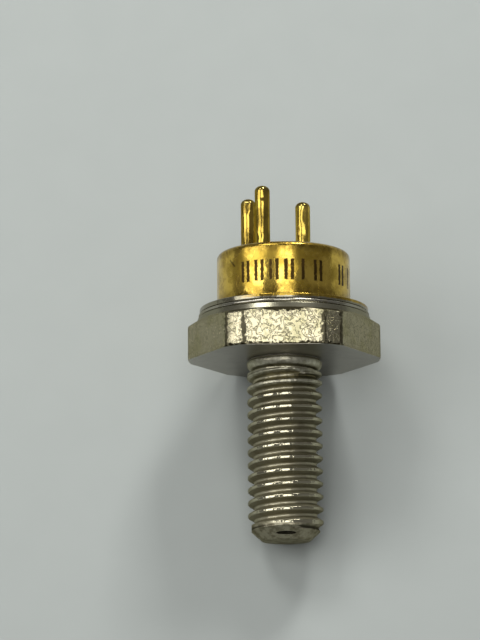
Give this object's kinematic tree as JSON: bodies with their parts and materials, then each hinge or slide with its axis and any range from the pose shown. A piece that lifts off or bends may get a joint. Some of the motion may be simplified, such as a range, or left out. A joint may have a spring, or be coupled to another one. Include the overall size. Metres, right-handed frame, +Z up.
{
  "type": "power transistor",
  "caption": "Stud-mounted power transistor: a nickel-plated hexagon base with a threaded stud, and a gold-plated cap with contact pins isolated from the base.",
  "frame": {"origin": "centre of the seat, which is the underside of the hexagon, on the axis of the stud", "axes": "+Z up from the surface the device lies on; the axis of the device lies in the YZ plane, with the pins towards +Y and raised by the rest tilt of about 16.6 degrees; +X across the device"},
  "size_m": [0.012, 0.0222, 0.0113],
  "materials": {
    "nickel_plate": "satin nickel plating on copper, with a fine crinkled grain",
    "ring_nickel": "semi-bright nickel plating",
    "gold_plate": "bright gold plating",
    "pin_gold": "gold plating, duller than the cap's",
    "white_ceramic": "unglazed fired ceramic",
    "silicon": "polished silicon",
    "bond_wire": "bright drawn wire"
  },
  "bodies": {
    "root": {"base_stud": "nickel_plate", "weld_ring": "ring_nickel", "cap_shell": "gold_plate", "top_ceramic": "white_ceramic", "braze_rings": "gold_plate", "collector_pin": "pin_gold", "base_pin": "pin_gold", "emitter_pin": "pin_gold", "insulator_disc": "white_ceramic", "collector_pad": "gold_plate", "base_pad": "gold_plate", "emitter_pad": "gold_plate", "silicon_die": "silicon", "collector_strap": "gold_plate", "base_strap": "gold_plate", "emitter_strap": "gold_plate", "base_wires": "bond_wire", "emitter_wires": "bond_wire"}
  },
  "joints": []
}
